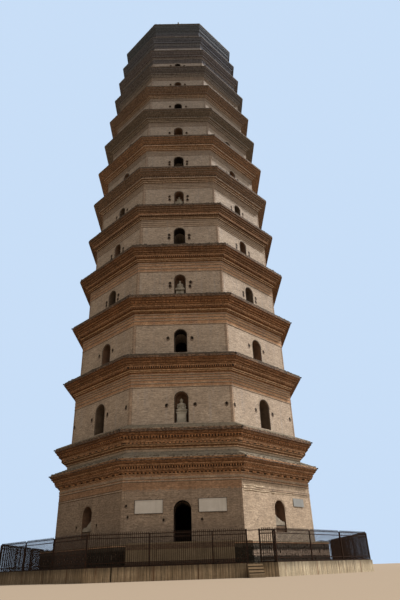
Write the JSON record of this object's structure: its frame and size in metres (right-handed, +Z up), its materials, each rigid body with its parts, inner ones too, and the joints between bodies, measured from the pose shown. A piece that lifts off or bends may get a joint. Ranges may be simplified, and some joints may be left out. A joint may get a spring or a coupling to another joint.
{
  "type": "scale model of a brick pagoda",
  "caption": "Scale model, 1:10, of a tall octagonal brick pagoda with stepped eaves, arched openings and niches, on a low fenced terrace with steps and a swinging gate.",
  "frame": {"origin": "on the tower's axis, in the flat underside of the terrace at ground level", "axes": "+Z up along the tower's axis; the front with the door, steps and gate faces -Y; +X is to the right as seen from the front"},
  "size_m": [3.09, 3.2103, 8.51],
  "materials": {
    "wall_brick": "weathered tan brick",
    "eave_brick": "sooty red-brown brick",
    "rubble": "dark brick and rubble",
    "concrete": "weathered concrete",
    "iron": "rusty dark iron",
    "pale_stone": "smooth pale stone",
    "grey_plate": "blue-grey stone",
    "bronze": "dark weathered bronze"
  },
  "bodies": {
    "tower": {"terrace_retaining_wall": "concrete", "terrace_fill": "rubble", "entry_steps": "concrete", "fence_front_left": "iron", "fence_front_right": "iron", "fence_right_front": "iron", "fence_right": "iron", "fence_right_back": "iron", "fence_back": "iron", "fence_left_back": "iron", "fence_left": "iron", "fence_left_front": "iron", "gate_frame": "iron", "tower_plinth": "rubble", "plinth_floor_slab": "concrete", "door_landing": "concrete", "storey_01_wall": "wall_brick", "storey_02_wall": "wall_brick", "storey_03_wall": "wall_brick", "storey_04_wall": "wall_brick", "storey_05_wall": "wall_brick", "storey_06_wall": "wall_brick", "storey_07_wall": "wall_brick", "storey_08_wall": "wall_brick", "storey_09_wall": "wall_brick", "storey_10_wall": "wall_brick", "storey_11_wall": "wall_brick", "storey_12_wall": "wall_brick", "storey_13_wall": "wall_brick", "eave_01_lower": "eave_brick", "eave_01_upper": "eave_brick", "eave_02": "eave_brick", "eave_03": "eave_brick", "eave_04": "eave_brick", "eave_05": "eave_brick", "eave_06": "eave_brick", "eave_07": "eave_brick", "eave_08": "eave_brick", "eave_09": "eave_brick", "eave_10": "eave_brick", "eave_11": "eave_brick", "eave_12": "eave_brick", "eave_13": "eave_brick", "tablet_left": "pale_stone", "tablet_right": "pale_stone", "wall_plate_right": "grey_plate", "tower_roof": "eave_brick", "roof_finial": "bronze"},
    "gate": {"gate_leaf": "iron"}
  },
  "joints": [
    {"name": "gate_hinge", "type": "hinge", "parent": "tower", "child": "gate", "pos_m": [0.532, -1.544, 0.1], "axis": [0, 0, 1], "range_deg": [-170, 8]}
  ]
}
